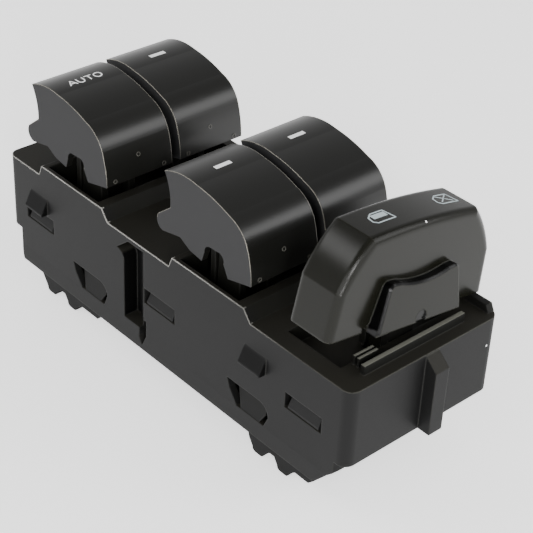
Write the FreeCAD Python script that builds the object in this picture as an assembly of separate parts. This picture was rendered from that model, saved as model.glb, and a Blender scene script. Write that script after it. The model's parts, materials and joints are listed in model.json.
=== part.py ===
import FreeCAD, Part
import math
import os
from FreeCAD import Vector

# Power window switch: a five-button master switch for a driver's door, in millimetres.
# +X runs along the housing towards the lock rocker, +Y across it, +Z up.
# The origin is the middle of the bounding box at the level of the feet.

# Housing
HOUSING_LENGTH = 130.0
HOUSING_WIDTH = 47.7
WALL = 2.0
DECK = 2.0
CORNER_RADIUS = 2.8
LONG_WALL_DEPTH = 26.0
END_WALL_DEPTH = 21.0
STRIP_HEIGHT = 4.0
STRIP_FLARE = 0.7
FAR_INSET = 3.7
FAR_FOOT_INSET = 6.1
NEAR_INSET = 2.6
NEAR_FOOT_INSET = 8.7
FOOT_DROP = 8.0

# Raised blocks of the rim round each row of rockers, and the wells in them
BLOCK_RISE = 3.0
BLOCK_BEHIND = 13.6
BLOCK_AHEAD = 12.2
BLOCK_RAMP = 2.4
BLOCK_NOTCH = 1.2
WELL_BEHIND = 12.0
WELL_AHEAD = 9.4
WELL_DEPTH = 5.0
WELL_SIDE_WALL = 1.2
WELL_WALL = 1.8
FAR_RIM_RISE = 1.9
FAR_RIM_LENGTH = 30.0

# Rows of window rockers, measured from the near end of the housing
REAR_ROW = 47.4
ROW_PITCH = 53.6
ROW_MIDDLE = -0.85
PIVOT_HEIGHT = 9.0
ROCKER_WIDTH = 20.3
ROCKER_GAP = 2.7
ROCKER_SHELL = 1.8
ROCKER_EDGE_RADIUS = 0.7
WINDOW_ROOF = 15.0
PIVOT_RADIUS = 1.92
PIVOT_CLEARANCE = 0.08
PIN_PROUD = 0.3
HUB_WIDTH = 6.0
CHEEK_THICKNESS = 2.0
CHEEK_RADIUS = 3.6
CHEEK_BASE = 8.4
BLADE = (5.0, 6.6, 1.5)
HUB_RADIUS = 3.0
SIDE_GAP = 0.3
LEG_WIDTH = 5.0
LEG_ROOT = 4.4
LEG_TIP = 2.0
NOSE_RADIUS = 1.4
NOSE_ABOVE_BOARD = 4.5
MANUAL_SWING = 8.0
AUTO_SWING = 11.0

# Lock rocker, a two-position toggle that stands tipped towards its right end
LOCK_STATION = 13.15
LOCK_TIP = 8.5
LOCK_DEPTH = 12.7
LOCK_HALF_WIDTH = 25.3
LOCK_PIVOT_HEIGHT = 8.1
LOCK_SKIRT_BELOW = 1.8
LOCK_SHOULDER_HEIGHT = 9.6
LOCK_SHOULDER_HALF = 24.4
LOCK_BULGE_HALF = 21.5
LOCK_BULGE_HEIGHT = 15.6
LOCK_CREASE_HALF = 16.9
LOCK_CREASE_HEIGHT = 21.4
LOCK_TOP_HEIGHT = 22.3
LOCK_EDGE_RADIUS = 1.8
ROUNDING_STRIPS = 6
LOCK_ROOF = 20.8
LOCK_HUB_WIDTH = 4.0
LOCK_LEG_WIDTH = 4.0
PANEL_PROUD = 3.5
PANEL_LEAN = 6.0
PANEL_BOTTOM_HALF = 13.5
PANEL_UNDER_HALF = 15.0
PANEL_TAB = (-13.5, -9.6)
PANEL_TOP_HALF = 11.2
PANEL_BELOW = 1.05
PANEL_TOP = 10.3
PANEL_DIP = 1.4
PANEL_BEVEL = 0.5
PANEL_BOSS_RADIUS = 1.7
PANEL_BOSS_DEPTH = 0.5
LOCK_WELL = (8.5, 25.6)
RAIL_STATION = 4.5
LOCK_WELL_MARGIN = 5.0
CURB_HEIGHT = 2.4
CURB_THICKNESS = 1.2
CURB_LENGTH = 32.0
SHORT_CURB = (8.0, 1.3, 0.7, -15.85, -9.95)

# Snap features of the long walls, measured from the near end
LATCH_STATIONS = (14.1, 65.7, 116.1)
LATCH_WINDOW = (12.0, 4.3)
LATCH_TOP_DEPTH = 11.5
BARB_STATIONS = (30.5, 116.2)
BARB_WIDTH = 7.4
BARB_TOP_DEPTH = 6.2
BARB_HEIGHT = 4.6
BARB_PROUD = 2.0
TONGUE_STATIONS = (32.6, 94.3)
TONGUE_WINDOW = (14.6, 6.4)
TONGUE_TOP_DEPTH = 19.4
TONGUE_SLOT = 1.3
TONGUE_LEAN = 1.6
SCOOP_STATION = 79.8
SCOOP_LENGTH = 8.0
SCOOP_DEPTH = 4.2
SCOOP_LINING = 1.6
SCOOP_FLOOR = 1.8
SCOOP_MOUTH = 2.8
SCOOP_SLOPE = 3.8
SCOOP_TOP_DEPTH = 1.2
SCOOP_BOTTOM_DEPTH = 24.6
SLIT = (72.3, 2.8, 21.4, 7.6)
KEY_PROUD = 3.5
KEY_SPAN = (-0.65, 3.55)

# Base cover
COVER_THICKNESS = 2.0
COVER_LIFT = 1.0
COVER_GAP = 0.15
ARM_WIDTH = 10.0
ARM_THICKNESS = 1.2
ARM_BARB = 2.1
RAILS = ((11.4, 34.9, 21.5, 30.3), (93.0, 121.4, 106.0, 115.3))
RAIL_THICKNESS = 4.0
RAIL_DROP = 6.0
FOOT_WIDTH = 6.4
SHROUD = (40.0, 15.0)
SHROUD_WALL = 1.8
SHROUD_REVEAL = 1.0
SHROUD_STATION = 65.0
ARM_GAP = 0.3

# Circuit board and what it carries
BOARD_THICKNESS = 1.6
BOARD_DEPTH = 21.0
BOARD_END_GAP = 1.0
BOARD_WIDTH = 33.0
POST_SIZE = 3.0
POST_STATIONS = (12.0, 76.0, 119.0)
POST_Y_PLACE = 14.5
TERMINALS_PER_ROW = 7
TERMINAL_PITCH = 4.2
TERMINAL_ROW_GAP = 4.5
TERMINAL_SIZE = 0.9
TERMINAL_REACH = 4.0
TERMINAL_CLEARANCE = 0.1
CHIP = (10.0, 5.0, 1.6)
CHIP_STATION = 86.0
LED = (3.2, 2.8, 1.9)
LED_AHEAD = 13.4
CAPACITOR_RADIUS = 3.2
CAPACITOR_HEIGHT = 6.5
CAPACITOR_STATION = 74.0
CAPACITOR_Y = 6.8
LOCK_LED = (4.0, 13.5)

# Sliding contacts
SLIDER_LENGTH = 12.0
SLIDER_WIDTH = 9.0
SLIDER_LIFT = 1.4
SLIDER_TOP_ABOVE_NOSE = 1.9
SLOT_CLEARANCE = 0.3
SLOT_FLOOR_GAP = 0.5
SLIDER_CLEARANCE = 0.2
GUIDE_THICKNESS = 1.2
LUG_WIDTH = 3.0
LUG_REACH = 2.0
LUG_HEIGHT = 2.5
SPRING_STRIP = 0.4
SPRING_GAP = 0.15
DETENT_REACH = 0.8
DETENT_POST = 1.5
WIPER_STRIP = 0.3
WIPER_WIDTH = 5.0
FACE_GAP = 0.15

# Levels and places that follow from the sizes above
STATION_SCALE = HOUSING_LENGTH / 130.0
RIM_Z = FOOT_DROP + STRIP_HEIGHT + LONG_WALL_DEPTH
FAR_X = -(HOUSING_LENGTH + KEY_PROUD) / 2
NEAR_X = FAR_X + HOUSING_LENGTH
SIDE_Y = HOUSING_WIDTH / 2
BOARD_TOP = RIM_Z - BOARD_DEPTH
WELL_FLOOR = RIM_Z - WELL_DEPTH
WELL_UNDERSIDE = WELL_FLOOR - DECK
COVER_BOTTOM = FOOT_DROP + COVER_LIFT
COVER_TOP = COVER_BOTTOM + COVER_THICKNESS
ROCKER_Y = (ROCKER_WIDTH + ROCKER_GAP) / 2
NOSE_Z = BOARD_TOP + NOSE_ABOVE_BOARD
SLIDER_BOTTOM = BOARD_TOP + SLIDER_LIFT
SLIDER_TOP = NOSE_Z + SLIDER_TOP_ABOVE_NOSE
SLOT_HALF = NOSE_RADIUS + SLOT_CLEARANCE
LUG_BOTTOM = SLIDER_TOP - 3.4
POST_Y = SLIDER_WIDTH / 2 + LUG_REACH + SLIDER_CLEARANCE
COVER_HALF_WIDTH = SIDE_Y - WALL - COVER_GAP


def station(distance):
    """X of a place measured from the near end wall, on a housing 130 mm long."""
    return NEAR_X - distance * STATION_SCALE


ROWS = {"rear": station(REAR_ROW), "front": station(REAR_ROW + ROW_PITCH)}
SIDES = {"left": -1, "right": 1}
LOCK_X = station(LOCK_STATION)
SHROUD_X = station(SHROUD_STATION)


# Shape helpers

def box(x, y, z):
    """A block between two values on each axis."""
    return Part.makeBox(x[1] - x[0], y[1] - y[0], z[1] - z[0], Vector(x[0], y[0], z[0]))


def round_bar(axis, centre, radius, low, high):
    """A cylinder along X, Y or Z from low to high, about a centre on the other two axes."""
    place = {"X": (low, centre[0], centre[1]), "Y": (centre[0], low, centre[1]),
             "Z": (centre[0], centre[1], low)}[axis]
    way = {"X": Vector(1, 0, 0), "Y": Vector(0, 1, 0), "Z": Vector(0, 0, 1)}[axis]
    return Part.makeCylinder(radius, high - low, Vector(*place), way)


def outline(plane, level, start, *steps):
    """A closed wire in a plane, at a level on the third axis.

    A step of two values is a line to that point, and of four an arc through the first
    pair to the second.
    """
    def at(u, v):
        return {"XZ": Vector(u, level, v), "YZ": Vector(level, u, v),
                "XY": Vector(u, v, level)}[plane]
    edges = []
    here = start
    for step in steps + (start,):
        end = step[-2:]
        if len(step) == 4:
            edges.append(Part.Arc(at(*here), at(*step[:2]), at(*end)).toShape())
        elif here != end:
            edges.append(Part.LineSegment(at(*here), at(*end)).toShape())
        here = end
    return Part.Wire(edges)


def prism(plane, low, high, start, *steps):
    """A closed outline in a plane, pushed from low to high along the third axis."""
    way = {"XZ": Vector(0, high - low, 0), "YZ": Vector(high - low, 0, 0),
           "XY": Vector(0, 0, high - low)}[plane]
    return Part.Face(outline(plane, low, start, *steps)).extrude(way)


def fused(first, *rest):
    """One solid from pieces that meet."""
    return first.fuse(list(rest)).removeSplitter() if rest else first


def placed(shape, move, turn=0.0):
    """A copy turned about Z at the origin and then moved."""
    copy = shape.copy()
    copy.rotate(Vector(0, 0, 0), Vector(0, 0, 1), turn)
    copy.translate(Vector(*move))
    return copy


def mirrored(shape):
    """A copy on the other side of the housing's middle plane."""
    return shape.mirror(Vector(0, 0, 0), Vector(0, 1, 0))


# Housing

def plan_block(x, half_width, z, radius):
    """A block with rounded corners in plan."""
    block = box(x, (-half_width, half_width), z)
    corners = [e for e in block.Edges if abs(e.BoundBox.ZLength - (z[1] - z[0])) < 0.001]
    return block.makeFillet(radius, corners)


def lower_ends(low_y, high_y, inset, top):
    """The lower body seen from the side, with its cut-back ends drawn inwards."""
    near = NEAR_X - inset
    far = FAR_X + inset
    bend = RIM_Z - LONG_WALL_DEPTH
    return prism("XZ", low_y, high_y,
                 (far + FAR_INSET, top), (near - NEAR_INSET, top),
                 (near - NEAR_INSET, bend + NEAR_INSET), (near - 2 * NEAR_INSET, bend),
                 (near - NEAR_FOOT_INSET, FOOT_DROP), (far + FAR_FOOT_INSET, FOOT_DROP),
                 (far + FAR_INSET, bend))


def lower_body():
    """The part of the housing below its end walls, with its flared bottom strip."""
    half = SIDE_Y + STRIP_FLARE
    top = RIM_Z - END_WALL_DEPTH
    bend = RIM_Z - LONG_WALL_DEPTH
    flare = prism("YZ", FAR_X, NEAR_X, (-SIDE_Y, top), (-SIDE_Y, bend), (-half, FOOT_DROP),
                  (half, FOOT_DROP), (SIDE_Y, bend), (SIDE_Y, top))
    plan = plan_block((FAR_X + FAR_INSET, NEAR_X - NEAR_INSET), half, (FOOT_DROP, top),
                      CORNER_RADIUS)
    return flare.common(lower_ends(-half, half, 0, top)).common(plan)


def housing_blank():
    """The outer form: walls, inset lower body, flared strip and raised blocks."""
    body = plan_block((FAR_X, NEAR_X), SIDE_Y, (RIM_Z - END_WALL_DEPTH, RIM_Z), CORNER_RADIUS)
    lower = lower_body()
    blocks = [
        prism("XZ", -SIDE_Y, SIDE_Y,
              (x - BLOCK_BEHIND - BLOCK_RAMP, RIM_Z - DECK), (x - BLOCK_BEHIND - BLOCK_RAMP, RIM_Z),
              (x - BLOCK_BEHIND - BLOCK_RAMP + BLOCK_NOTCH, RIM_Z),
              (x - BLOCK_BEHIND, RIM_Z + BLOCK_RISE), (x + BLOCK_AHEAD, RIM_Z + BLOCK_RISE),
              (x + BLOCK_AHEAD + BLOCK_RAMP, RIM_Z), (x + BLOCK_AHEAD + BLOCK_RAMP, RIM_Z - DECK))
        for x in ROWS.values()]
    far_rim = prism("XZ", SIDE_Y - WALL, SIDE_Y,
                    (station(FAR_RIM_LENGTH), RIM_Z - DECK), (station(FAR_RIM_LENGTH), RIM_Z),
                    (station(FAR_RIM_LENGTH) + FAR_RIM_RISE, RIM_Z + FAR_RIM_RISE),
                    (NEAR_X - CORNER_RADIUS, RIM_Z + FAR_RIM_RISE),
                    (NEAR_X - CORNER_RADIUS + FAR_RIM_RISE / 2, RIM_Z),
                    (NEAR_X - CORNER_RADIUS, RIM_Z - DECK))
    return fused(body, lower, far_rim, *blocks)


def end_key():
    """The locating key on the near end wall, with a lead-in at its top."""
    return prism("XZ", KEY_SPAN[0], KEY_SPAN[1],
                 (NEAR_X - WALL, RIM_Z - DECK), (NEAR_X, RIM_Z - 0.5),
                 (NEAR_X + KEY_PROUD, RIM_Z - KEY_PROUD),
                 (NEAR_X + KEY_PROUD, RIM_Z - END_WALL_DEPTH),
                 (NEAR_X - WALL, RIM_Z - END_WALL_DEPTH))


def cavity():
    """The hollow inside the walls, open below."""
    upper = box((FAR_X + WALL, NEAR_X - WALL), (-SIDE_Y + WALL, SIDE_Y - WALL),
                (RIM_Z - END_WALL_DEPTH + DECK, RIM_Z - DECK))
    lower = lower_ends(-SIDE_Y + WALL, SIDE_Y - WALL, WALL, RIM_Z - END_WALL_DEPTH + DECK)
    below = box((FAR_X + WALL + FAR_FOOT_INSET, NEAR_X - WALL - NEAR_FOOT_INSET),
                (-SIDE_Y + WALL, SIDE_Y - WALL), (FOOT_DROP - 1, FOOT_DROP))
    return fused(upper, lower, below)


def well_tub(x, y, wall_x, wall_y):
    """A closed block under the deck that a well is sunk into."""
    return box((x[0] - wall_x, x[1] + wall_x), (y[0] - wall_y, y[1] + wall_y),
               (WELL_UNDERSIDE, RIM_Z - DECK))


def row_well(x):
    """The well below one row, as x and y ranges."""
    half = SIDE_Y + ROW_MIDDLE - WELL_SIDE_WALL
    return (x - WELL_BEHIND, x + WELL_AHEAD), (ROW_MIDDLE - half, ROW_MIDDLE + half)


LOCK_WELL_X = (station(LOCK_WELL[1]), station(LOCK_WELL[0]))
LOCK_WELL_Y = (-SIDE_Y + LOCK_WELL_MARGIN, SIDE_Y - LOCK_WELL_MARGIN)


def cheek(pivot_height, low, high):
    """One bearing cheek that stands on a well floor, along Y from low to high."""
    top = RIM_Z + pivot_height
    foot = WELL_FLOOR - DECK / 2
    plate = prism("XZ", low, high, (-CHEEK_BASE / 2, foot),
                  (-CHEEK_RADIUS, top), (0, top + CHEEK_RADIUS, CHEEK_RADIUS, top),
                  (CHEEK_BASE / 2, foot))
    return plate.cut(round_bar("Y", (0, top), PIVOT_RADIUS + PIVOT_CLEARANCE, low, high))


def cheeks(mechanism):
    """The pair of cheeks of one rocker, and behind them blades that steady its well."""
    inner = mechanism.hub_half + SIDE_GAP
    outer = inner + CHEEK_THICKNESS
    one = cheek(mechanism.pivot_height, inner, outer)
    if mechanism.name != "lock":
        near, far, drop = BLADE
        sign = -math.cos(math.radians(mechanism.turn))
        edges = sorted((sign * near, sign * far))
        one = one.fuse(box(edges, (inner, outer), (WELL_FLOOR - DECK / 2,
                                                   RIM_Z + mechanism.pivot_height - drop)))
    return one.fuse(mirrored(one))


def slider_guides(mechanism):
    """Rails beside a slider, with a gap for its lug, and the post that its spring clasps."""
    travel = mechanism.travel
    y = SLIDER_WIDTH / 2 + SLIDER_CLEARANCE
    reach = SLIDER_LENGTH / 2 + travel
    levels = (SLIDER_TOP - 3.0, WELL_UNDERSIDE)
    rail = box((-reach, reach), (-y - GUIDE_THICKNESS, -y), levels)
    gap = LUG_WIDTH / 2 + travel + 1.0
    ends = [box(x, (y, y + GUIDE_THICKNESS), levels) for x in ((-reach, -gap), (gap, reach))]
    post_y = POST_Y + (DETENT_POST if mechanism.rest else 0)
    post = box((-LUG_WIDTH / 2, LUG_WIDTH / 2), (post_y, post_y + LUG_REACH),
               (LUG_BOTTOM, WELL_UNDERSIDE))
    return [rail, post] + ends


def leg_slot(mechanism):
    """The opening in a well floor that a rocker's leg swings in."""
    reach = RIM_Z + mechanism.pivot_height - WELL_UNDERSIDE
    half = reach * math.sin(math.radians(mechanism.swing)) + LEG_ROOT / 2 + SIDE_GAP
    side = mechanism.leg_width / 2 + 2 * SIDE_GAP
    return box((-half, half), (-side, side), (WELL_UNDERSIDE - 1, WELL_FLOOR + 1))


def latch_window(x):
    """A window in a long wall for one latch barb of the cover."""
    width, height = LATCH_WINDOW
    top = RIM_Z - LATCH_TOP_DEPTH
    return box((x - width / 2, x + width / 2), (-SIDE_Y - 1, -SIDE_Y + WALL + 0.5),
               (top - height, top))


def outer_barb(x):
    """A wedge on a long wall that snaps into the door panel."""
    top = RIM_Z - BARB_TOP_DEPTH
    return prism("YZ", x - BARB_WIDTH / 2, x + BARB_WIDTH / 2,
                 (-SIDE_Y, top), (-SIDE_Y - BARB_PROUD, top - BARB_HEIGHT + 0.6),
                 (-SIDE_Y - BARB_PROUD, top - BARB_HEIGHT), (-SIDE_Y + WALL / 2, top - BARB_HEIGHT),
                 (-SIDE_Y + WALL / 2, top))


def tongue_window(x):
    """The D-shaped window round a snap tongue."""
    width, height = TONGUE_WINDOW
    top = RIM_Z - TONGUE_TOP_DEPTH
    half = width / 2
    return prism("XZ", -SIDE_Y - 1, -SIDE_Y + WALL + 1,
                 (x - half, top), (x + half - 3.5, top),
                 (x + half - 0.8, top - 1.2, x + half, top - 3.2),
                 (x + half - 1.4, top - height), (x - half + 3.6, top - height),
                 (x - half + 0.8, top - 2.6))


def snap_tongue(x):
    """The springy tongue in a D window, held at its foot and leaning inwards."""
    width, height = TONGUE_WINDOW
    top = RIM_Z - TONGUE_TOP_DEPTH
    half = width / 2 - TONGUE_SLOT
    blade = prism("YZ", x - half, x + half,
                  (-SIDE_Y, top - height - 0.5), (-SIDE_Y + TONGUE_LEAN, top - TONGUE_SLOT),
                  (-SIDE_Y + TONGUE_LEAN + 1.2, top - TONGUE_SLOT),
                  (-SIDE_Y + WALL, top - height - 0.5))
    shape = prism("XZ", -SIDE_Y - 1, -SIDE_Y + WALL + 2,
                  (x - half + 1.2, top - TONGUE_SLOT), (x + half - 3.0, top - TONGUE_SLOT),
                  (x + half - 0.9, top - 2.4, x + half - 0.4, top - 4.0),
                  (x + half - 2.0, top - height - 0.5), (x - half + 4.0, top - height - 0.5))
    return blade.common(shape)


def scoop_lining():
    """The thicker wall that the scoop is sunk into."""
    x = station(SCOOP_STATION)
    return box((x - 4.8, x + SCOOP_LENGTH - 0.5),
               (-SIDE_Y + WALL / 2, -SIDE_Y + SCOOP_DEPTH + SCOOP_LINING),
               (RIM_Z - SCOOP_BOTTOM_DEPTH - 1.2, RIM_Z - DECK / 2))


def scoop():
    """The upright scoop in the near long wall: a steep end, then a floor that ramps out."""
    x = station(SCOOP_STATION)
    end = x + SCOOP_LENGTH
    y = -SIDE_Y + SCOOP_DEPTH
    out = -SIDE_Y - 1
    top = RIM_Z - SCOOP_TOP_DEPTH
    bottom = RIM_Z - SCOOP_BOTTOM_DEPTH
    turn = top - SCOOP_SLOPE - SCOOP_MOUTH
    plan = prism("XY", bottom - 1, RIM_Z, (x - SCOOP_MOUTH, out), (x - SCOOP_MOUTH, y),
                 (x + SCOOP_FLOOR, y), (end, -SIDE_Y), (end, out))
    side = prism("XZ", out, y, (x, bottom), (x, turn),
                 (x - 0.9, turn + 2.1, x - SCOOP_MOUTH, top - SCOOP_SLOPE),
                 (x + SCOOP_FLOOR, top), (end, top), (end, bottom))
    return plan.common(side)


def slit():
    """The narrow pointed slot beside the scoop."""
    at, width, depth, height = SLIT
    x = station(at)
    top = RIM_Z - depth
    return prism("XZ", -SIDE_Y - 1.5, -SIDE_Y + WALL + 0.5,
                 (x - width / 2, top), (x + width / 2, top), (x + width / 2, top - height * 0.6),
                 (x + 0.3, top - height), (x - width / 2, top - height * 0.75))


def deck_curbs():
    """The low rail in front of the lock rocker and the pair of short ribs behind it."""
    x = station(RAIL_STATION)
    levels = (RIM_Z - DECK / 2, RIM_Z + CURB_HEIGHT)
    curbs = [box((x, x + CURB_THICKNESS),
                 (ROW_MIDDLE - CURB_LENGTH / 2, ROW_MIDDLE + CURB_LENGTH / 2), levels)]
    distance, spacing, thickness, low, high = SHORT_CURB
    for i in range(2):
        x = station(distance - i * spacing)
        curbs.append(box((x, x + thickness), (low, high), levels))
    return curbs


def housing():
    body = fused(housing_blank(), end_key()).cut(cavity())
    inside = []
    openings = []
    for x in ROWS.values():
        well_x, well_y = row_well(x)
        inside.append(well_tub(well_x, well_y, WELL_WALL, WELL_SIDE_WALL / 2))
        openings.append(box(well_x, well_y, (WELL_FLOOR, RIM_Z + BLOCK_RISE + 1)))
    inside.append(well_tub(LOCK_WELL_X, LOCK_WELL_Y, WELL_WALL, WELL_WALL))
    openings.append(box(LOCK_WELL_X, LOCK_WELL_Y, (WELL_FLOOR, RIM_Z + 1)))
    inside.append(scoop_lining())
    body = body.fuse(inside).cut(openings)
    added = board_posts() + deck_curbs()
    slots = []
    for mechanism in mechanisms():
        added += [mechanism.put(shape) for shape in slider_guides(mechanism)]
        added.append(mechanism.put(cheeks(mechanism)))
        slots.append(mechanism.put(leg_slot(mechanism)))
    body = body.fuse(added).cut(slots)
    near = [latch_window(station(d)) for d in LATCH_STATIONS]
    near += [tongue_window(station(d)) for d in TONGUE_STATIONS]
    body = body.cut(near + [mirrored(shape) for shape in near] + [scoop(), slit()])
    snaps = [outer_barb(station(d)) for d in BARB_STATIONS]
    snaps += [snap_tongue(station(d)) for d in TONGUE_STATIONS]
    return body.fuse(snaps + [mirrored(shape) for shape in snaps]).removeSplitter()


# Mechanism under each rocker: a leg drives a slider, and a hairpin spring centres it

class Mechanism:
    """One rocker's place and motion; its own X axis is the slider's way of travel.

    A rocker with a rest angle stands tipped by it, with its slider off the middle.
    """

    def __init__(self, name, place, turn, swing, pivot_height, hub_width, leg_width, rest=0.0):
        self.name = name
        self.hub_half = hub_width / 2
        self.place = place
        self.turn = turn
        self.swing = swing
        self.pivot_height = pivot_height
        self.leg_length = RIM_Z + pivot_height - NOSE_Z
        self.leg_width = leg_width
        self.rest = rest
        self.travel = self.leg_length * math.sin(math.radians(swing))
        self.shift = -self.leg_length * math.sin(math.radians(rest))

    def put(self, shape):
        return placed(shape, self.place, self.turn)

    def put_moving(self, shape):
        return self.put(placed(shape, (self.shift, 0, 0)))


def mechanisms():
    """The four window rockers and the lock rocker."""
    found = []
    for row, x in ROWS.items():
        for side, sign in SIDES.items():
            swing = AUTO_SWING if (row, side) == ("front", "left") else MANUAL_SWING
            turn = 0.0 if sign < 0 else 180.0
            found.append(Mechanism(row + "_" + side, (x, ROW_MIDDLE + sign * ROCKER_Y, 0), turn, swing,
                                   PIVOT_HEIGHT, HUB_WIDTH, LEG_WIDTH))
    found.append(Mechanism("lock", (LOCK_X, 0, 0), 90.0, LOCK_TIP, LOCK_PIVOT_HEIGHT,
                           LOCK_HUB_WIDTH, LOCK_LEG_WIDTH, rest=LOCK_TIP))
    return found


def rocker_core(mechanism, roof_height):
    """Hub with stub pins, web up to the roof and leg down to its nose, about the pivot."""
    half = mechanism.hub_half
    leg_half = mechanism.leg_width / 2
    drop = mechanism.leg_length
    pins = round_bar("Y", (0, 0), PIVOT_RADIUS, -half - SIDE_GAP - CHEEK_THICKNESS - PIN_PROUD,
                     half + SIDE_GAP + CHEEK_THICKNESS + PIN_PROUD)
    hub = round_bar("Y", (0, 0), HUB_RADIUS, -half, half)
    web = box((-LEG_ROOT / 2, LEG_ROOT / 2), (-half, half), (0, roof_height))
    leg = prism("XZ", -leg_half, leg_half, (-LEG_ROOT / 2, 0), (-LEG_TIP / 2, -drop),
                (LEG_TIP / 2, -drop), (LEG_ROOT / 2, 0))
    nose = round_bar("Y", (0, -drop), NOSE_RADIUS, -leg_half, leg_half)
    return fused(hub, pins, web, leg, nose)


def softened(solid, radius, edges):
    """The solid with its given edges rounded, one after another where a set fails."""
    try:
        rounded = solid.makeFillet(radius, edges)
        if rounded.isValid():
            return rounded
    except Part.OCCError:
        pass
    return solid


def window_rocker(mechanism):
    """A window rocker: a thin shell with a scooped back, a crowned top and a long front."""
    half = ROCKER_WIDTH / 2
    outer = prism("XZ", -half, half,
                  (-18.1, 15.3), (-12.4, 17.0, -6.5, 16.9), (-0.5, 16.0, 4.8, 14.4),
                  (9.2, 12.0, 11.3, 8.8), (12.5, 4.4, 13.0, -0.4), (4.9, -2.5), (-3.8, -2.5),
                  (-8.6, -1.8), (-12.2, 0.0), (-14.1, -0.4), (-18.7, -1.4),
                  (-20.6, -0.1, -20.2, 2.8), (-15.9, 6.3), (-16.3, 11.0, -18.1, 15.3))
    rims = [e for e in outer.Edges
            if abs(abs(e.CenterOfMass.y) - half) < 0.01 and e.CenterOfMass.z > 0.5]
    outer = softened(outer, ROCKER_EDGE_RADIUS, rims)
    inner = half - ROCKER_SHELL
    hollow = prism("XZ", -inner, inner,
                   (-15.7, 14.2), (-12.3, 15.0), (-6.6, 15.1), (-0.9, 14.2), (4.0, 12.6),
                   (7.7, 10.6), (9.5, 8.2), (11.0, 2.6), (11.2, -4.0), (-17.8, -4.0),
                   (-18.4, 1.2), (-14.1, 4.9), (-14.4, 10.6))
    notch = prism("XZ", -half - 1, half + 1,
                  (-4.6, -3.5), (-3.4, 0.4), (-2.9, 2.0, -1.4, 2.7), (1.4, 2.9),
                  (2.9, 2.5, 3.4, 0.6), (5.6, -3.5))
    return outer.cut([hollow, notch])


def window_rocker_node(mechanism):
    shell = window_rocker(mechanism)
    core = rocker_core(mechanism, WINDOW_ROOF)
    return placed(fused(shell, core), (mechanism.place[0], mechanism.place[1],
                                       RIM_Z + mechanism.pivot_height))


def lock_arch(inset, low, x):
    """The lock rocker's arch at one depth, drawn inwards."""
    base = LOCK_HALF_WIDTH - inset
    shoulder = LOCK_SHOULDER_HALF - inset
    bulge = LOCK_BULGE_HALF - inset, LOCK_BULGE_HEIGHT - inset / 2
    crease = LOCK_CREASE_HALF - inset / 2, LOCK_CREASE_HEIGHT - inset
    return outline("YZ", x, (-base, low), (base, low), (shoulder, LOCK_SHOULDER_HEIGHT),
                   bulge + crease, (0, LOCK_TOP_HEIGHT - inset, -crease[0], crease[1]),
                   (-bulge[0], bulge[1], -shoulder, LOCK_SHOULDER_HEIGHT))


def lock_slab(inset, low, half):
    """The arch pushed through the rocker's depth."""
    return Part.Face(lock_arch(inset, low, -half)).extrude(Vector(2 * half, 0, 0))


def lock_rounding(low, straight, side):
    """The rounded edge between the arch and one face, as a quarter turn in narrow strips."""
    turns = [math.radians(90 * i / ROUNDING_STRIPS) for i in range(ROUNDING_STRIPS + 1)]
    return Part.makeLoft([lock_arch(LOCK_EDGE_RADIUS * (1 - math.cos(turn)), low,
                                    side * (straight + LOCK_EDGE_RADIUS * math.sin(turn)))
                          for turn in turns], True, True)


def lock_panel(inset, low):
    """The raised panel on the front face, with its dipped top edge."""
    front = LOCK_DEPTH / 2 + PANEL_PROUD
    bottom = PANEL_BOTTOM_HALF - inset
    top = PANEL_TOP_HALF - inset
    height = PANEL_TOP - inset
    radius = 1.6
    return prism("YZ", 0, front - inset,
                 (-bottom, low), (bottom, low), (top + 0.25, height - radius),
                 (top - 0.3, height - 0.4, top - radius, height), (top - 3.4, height - 0.2),
                 (0, height - PANEL_DIP, -top + 3.4, height - 0.2), (-top + radius, height),
                 (-top + 0.3, height - 0.4, -top - 0.25, height - radius))


def leaned(panel):
    """The panel leaned back about the lower edge of its front face."""
    panel.rotate(Vector(LOCK_DEPTH / 2 + PANEL_PROUD, 0, -PANEL_BELOW), Vector(0, 1, 0),
                 -PANEL_LEAN)
    return panel


def lock_shell():
    half = LOCK_DEPTH / 2
    front = half + PANEL_PROUD
    straight = half - LOCK_EDGE_RADIUS
    slab = fused(lock_slab(0, -LOCK_SKIRT_BELOW, straight),
                 lock_rounding(-LOCK_SKIRT_BELOW, straight, -1),
                 lock_rounding(-LOCK_SKIRT_BELOW, straight, 1))
    panel = lock_panel(0, -PANEL_BELOW)
    rim = [e for e in panel.Edges
           if abs(e.CenterOfMass.x - front) < 0.01 and e.CenterOfMass.z > 0]
    panel = leaned(panel.makeChamfer(PANEL_BEVEL, rim))
    under = box((0, half + 1), (-PANEL_UNDER_HALF, PANEL_UNDER_HALF),
                (-LOCK_SKIRT_BELOW - 1, -PANEL_BELOW + 0.4))
    tab = box((half, front - 0.6), PANEL_TAB, (-LOCK_SKIRT_BELOW, 0))
    shell = fused(slab.cut(under), panel, tab)
    shell = shell.cut([lock_slab(ROCKER_SHELL, -LOCK_SKIRT_BELOW - 1, half - ROCKER_SHELL),
                       leaned(lock_panel(ROCKER_SHELL, -LOCK_SKIRT_BELOW - 1)),
                       round_bar("X", (0, 0), PANEL_BOSS_RADIUS, front - PANEL_BOSS_DEPTH,
                                 front + 1)])
    return shell


def lock_rocker(mechanism):
    core = placed(rocker_core(mechanism, LOCK_ROOF), (0, 0, 0), mechanism.turn)
    whole = fused(lock_shell(), core)
    whole.rotate(Vector(0, 0, 0), Vector(1, 0, 0), -mechanism.rest)
    return placed(whole, (mechanism.place[0], mechanism.place[1],
                          RIM_Z + mechanism.pivot_height))


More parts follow.
